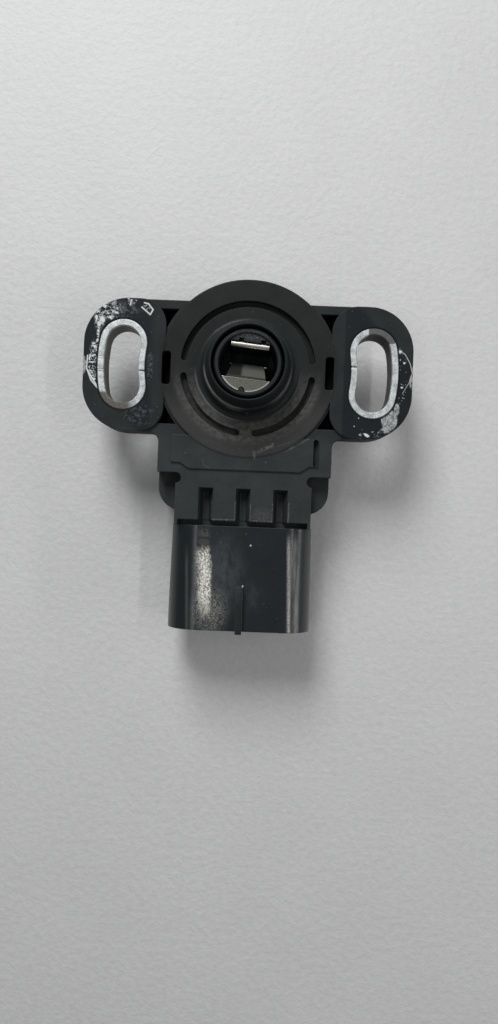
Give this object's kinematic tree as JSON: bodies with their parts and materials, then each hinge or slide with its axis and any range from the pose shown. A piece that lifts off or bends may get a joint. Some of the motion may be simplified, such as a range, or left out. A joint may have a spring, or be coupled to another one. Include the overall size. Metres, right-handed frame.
{
  "type": "throttle position sensor",
  "caption": "Rotary throttle position sensor with slotted ears, a driven rotor in a tall collar and a three-way connector.",
  "frame": {"origin": "the shaft axis where it meets the mating face of the bolt pads", "axes": "+Z out of the mating face along the shaft axis, towards the collar's rim; +Y away from the connector; +X towards the right-hand ear"},
  "size_m": [0.0554, 0.0597, 0.0202],
  "materials": {
    "shell": "glass-filled black moulding, scuffed",
    "rotor_plastic": "smooth black moulding",
    "sleeve_steel": "zinc-plated rolled strip with white corrosion",
    "clip_steel": "bright spring steel",
    "terminal_metal": "tinned",
    "contact_bronze": "bright strip",
    "seal_rubber": "matt",
    "board_ceramic": "matt",
    "carbon_film": "printed film",
    "silver_film": "printed film"
  },
  "bodies": {
    "housing": {"housing": "shell", "back_cover": "shell", "cover_seal": "seal_rubber", "sleeve_left": "sleeve_steel", "sleeve_right": "sleeve_steel", "shaft_seal": "seal_rubber", "thrust_washer": "contact_bronze", "element_board": "board_ceramic", "resistor_track": "carbon_film", "collector_track": "silver_film", "board_pads": "silver_film", "terminal_supply": "terminal_metal", "terminal_signal": "terminal_metal", "terminal_ground": "terminal_metal", "contact_spring_supply": "contact_bronze", "contact_spring_signal": "contact_bronze", "contact_spring_ground": "contact_bronze"},
    "rotor": {"rotor": "rotor_plastic", "shaft_clip": "clip_steel", "wiper": "contact_bronze"}
  },
  "joints": [
    {"name": "rotor_turn", "type": "hinge", "parent": "housing", "child": "rotor", "pos_m": [0, 0, 0], "axis": [0, 0, 1], "range_deg": [0, 104]}
  ]
}
